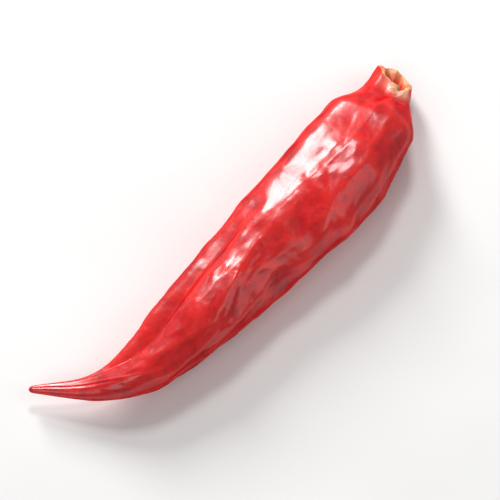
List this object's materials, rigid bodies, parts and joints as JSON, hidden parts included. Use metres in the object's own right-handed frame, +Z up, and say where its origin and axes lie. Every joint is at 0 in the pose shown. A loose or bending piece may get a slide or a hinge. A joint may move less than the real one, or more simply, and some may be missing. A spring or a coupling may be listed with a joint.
{
  "type": "dried chilli pepper",
  "caption": "Whole dried red chilli pod lying on its belly: curved, creased body, torn neck with the stub of its stalk, and a thin curled tip. For cooking and still life scenes.",
  "frame": {"origin": "on the ground under the middle of the pod's box", "axes": "+X along the pod from its tip to its torn neck, +Y towards the hollow side of its curve, +Z up from the ground it lies on"},
  "size_m": [0.0578, 0.0134, 0.0091],
  "materials": {
    "dried_skin": "glossy, wrinkled, leathery dried skin, deep red",
    "dry_stalk": "matt, fibrous, cream to pale brown"
  },
  "bodies": {
    "root": {"pod": "dried_skin", "stem_stub": "dry_stalk"}
  },
  "joints": []
}
